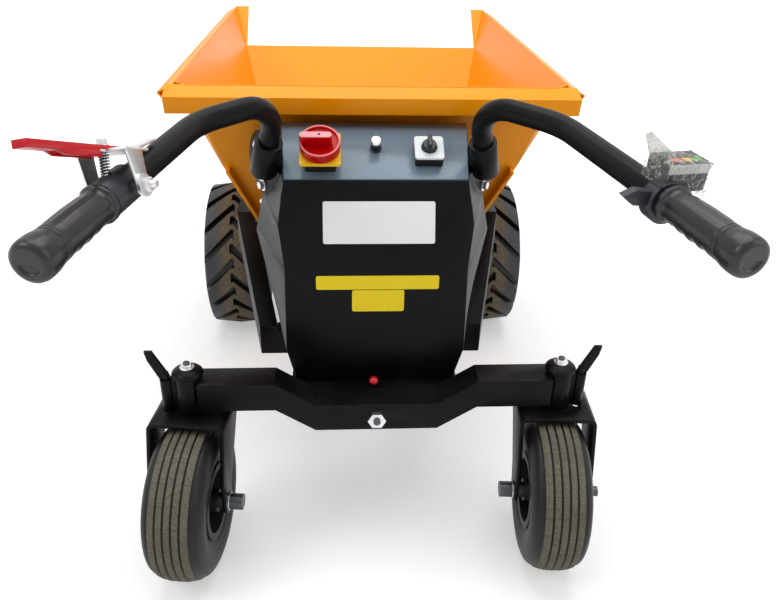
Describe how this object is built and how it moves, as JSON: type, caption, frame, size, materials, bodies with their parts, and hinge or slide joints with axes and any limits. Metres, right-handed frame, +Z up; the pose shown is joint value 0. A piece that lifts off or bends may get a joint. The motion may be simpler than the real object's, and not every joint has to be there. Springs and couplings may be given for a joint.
{
  "type": "site dumper",
  "caption": "Walk-behind electric site dumper: skip tub tipping forward over two driven lugged wheels, sheet-metal console with handlebars, cranked rear beam on swivel casters.",
  "frame": {"origin": "on the ground under the middle of the bounding box", "axes": "+X operator's right, +Y forward (the way it travels and tips), +Z up"},
  "size_m": [0.9358, 1.7929, 1.001],
  "materials": {
    "orange_paint": "gloss orange powder coat",
    "black_paint": "semi-gloss black powder coat",
    "rim_paint": "satin dark grey paint",
    "axle_steel": "satin black paint",
    "bright_steel": "zinc-plated steel",
    "motor_casting": "painted casting",
    "tyre_rubber": "worn rubber",
    "grip_rubber": "smooth moulded rubber",
    "pad_rubber": "matt rubber",
    "battery_case": "moulded case",
    "actuator_case": "anodised tube",
    "yellow_plastic": "moulded yellow",
    "red_plastic": "moulded red",
    "red_vinyl": "glossy dipped vinyl",
    "white_plastic": "moulded white",
    "black_plastic": "moulded black"
  },
  "bodies": {
    "chassis": {"actuator_bracket": "axle_steel", "battery_block": "battery_case", "beam_pivot_bolt": "bright_steel", "brake_lever": "bright_steel", "brake_lever_clamp": "black_plastic", "brake_lever_grip": "red_vinyl", "chassis_frame": "black_paint", "console_shell": "black_paint", "drive_axle": "axle_steel", "drive_motor": "motor_casting", "grip_left": "grip_rubber", "grip_right": "grip_rubber", "handle_socket_left": "black_paint", "handle_socket_right": "black_paint", "handlebar_left": "black_paint", "handlebar_right": "black_paint", "isolator_base": "yellow_plastic", "isolator_knob": "red_plastic", "key_switch": "bright_steel", "mode_switch_base": "white_plastic", "mode_switch_knob": "black_plastic", "rear_beam": "black_paint", "swivel_lock_pin_left": "black_paint", "swivel_lock_pin_right": "black_paint", "throttle_box": "black_plastic", "throttle_clamp": "black_plastic", "throttle_thumb_lever": "black_plastic", "tub_hinge_pin": "bright_steel", "tub_rest_pads": "pad_rubber"},
    "tub_body": {"tub": "orange_paint", "tub_hinge_frame": "orange_paint"},
    "actuator_barrel_body": {"actuator_barrel": "actuator_case"},
    "actuator_rod_body": {"actuator_rod": "bright_steel"},
    "drive_wheel_left": {"drive_tyre_left": "tyre_rubber", "drive_rim_left": "rim_paint"},
    "caster_left": {"caster_fork_left": "black_paint", "kingpin_cap_left": "black_paint", "caster_axle_left": "bright_steel"},
    "caster_wheel_left": {"caster_tyre_left": "tyre_rubber", "caster_rim_left": "rim_paint"},
    "drive_wheel_right": {"drive_tyre_right": "tyre_rubber", "drive_rim_right": "rim_paint"},
    "caster_right": {"caster_fork_right": "black_paint", "kingpin_cap_right": "black_paint", "caster_axle_right": "bright_steel"},
    "caster_wheel_right": {"caster_tyre_right": "tyre_rubber", "caster_rim_right": "rim_paint"}
  },
  "joints": [
    {"name": "tub_tip", "type": "hinge", "parent": "chassis", "child": "tub_body", "pos_m": [0, 0.6065, 0.505], "axis": [-1, 0, 0], "range_deg": [0, 60]},
    {"name": "actuator_swing", "type": "hinge", "parent": "chassis", "child": "actuator_barrel_body", "pos_m": [0, -0.02, 0.268], "axis": [1, 0, 0], "range_deg": [0, 14.1]},
    {"name": "actuator_extend", "type": "slide", "parent": "actuator_barrel_body", "child": "actuator_rod_body", "axis": [0, 0.877, 0.4805], "range_m": [0, 0.2176]},
    {"name": "drive_wheel_left_spin", "type": "hinge", "parent": "chassis", "child": "drive_wheel_left", "pos_m": [-0.3825, 0.5615, 0.22], "axis": [1, 0, 0], "continuous": true},
    {"name": "caster_left_swivel", "type": "hinge", "parent": "chassis", "child": "caster_left", "pos_m": [-0.3625, -0.4135, 0.37], "axis": [0, 0, 1], "continuous": true},
    {"name": "caster_wheel_left_spin", "type": "hinge", "parent": "caster_left", "child": "caster_wheel_left", "pos_m": [-0.36981, -0.47305, 0.157], "axis": [0.9925, -0.1219, 0], "continuous": true},
    {"name": "drive_wheel_right_spin", "type": "hinge", "parent": "chassis", "child": "drive_wheel_right", "pos_m": [0.3825, 0.5615, 0.22], "axis": [1, 0, 0], "continuous": true},
    {"name": "caster_right_swivel", "type": "hinge", "parent": "chassis", "child": "caster_right", "pos_m": [0.3625, -0.4135, 0.37], "axis": [0, 0, 1], "continuous": true},
    {"name": "caster_wheel_right_spin", "type": "hinge", "parent": "caster_right", "child": "caster_wheel_right", "pos_m": [0.35831, -0.47335, 0.157], "axis": [0.9976, -0.0698, 0], "continuous": true}
  ],
  "couplings": [
    {"joint": "actuator_swing", "follows": "tub_tip", "ratio": 0.23378},
    {"joint": "actuator_extend", "follows": "tub_tip", "m_per_rad": 0.20745}
  ]
}
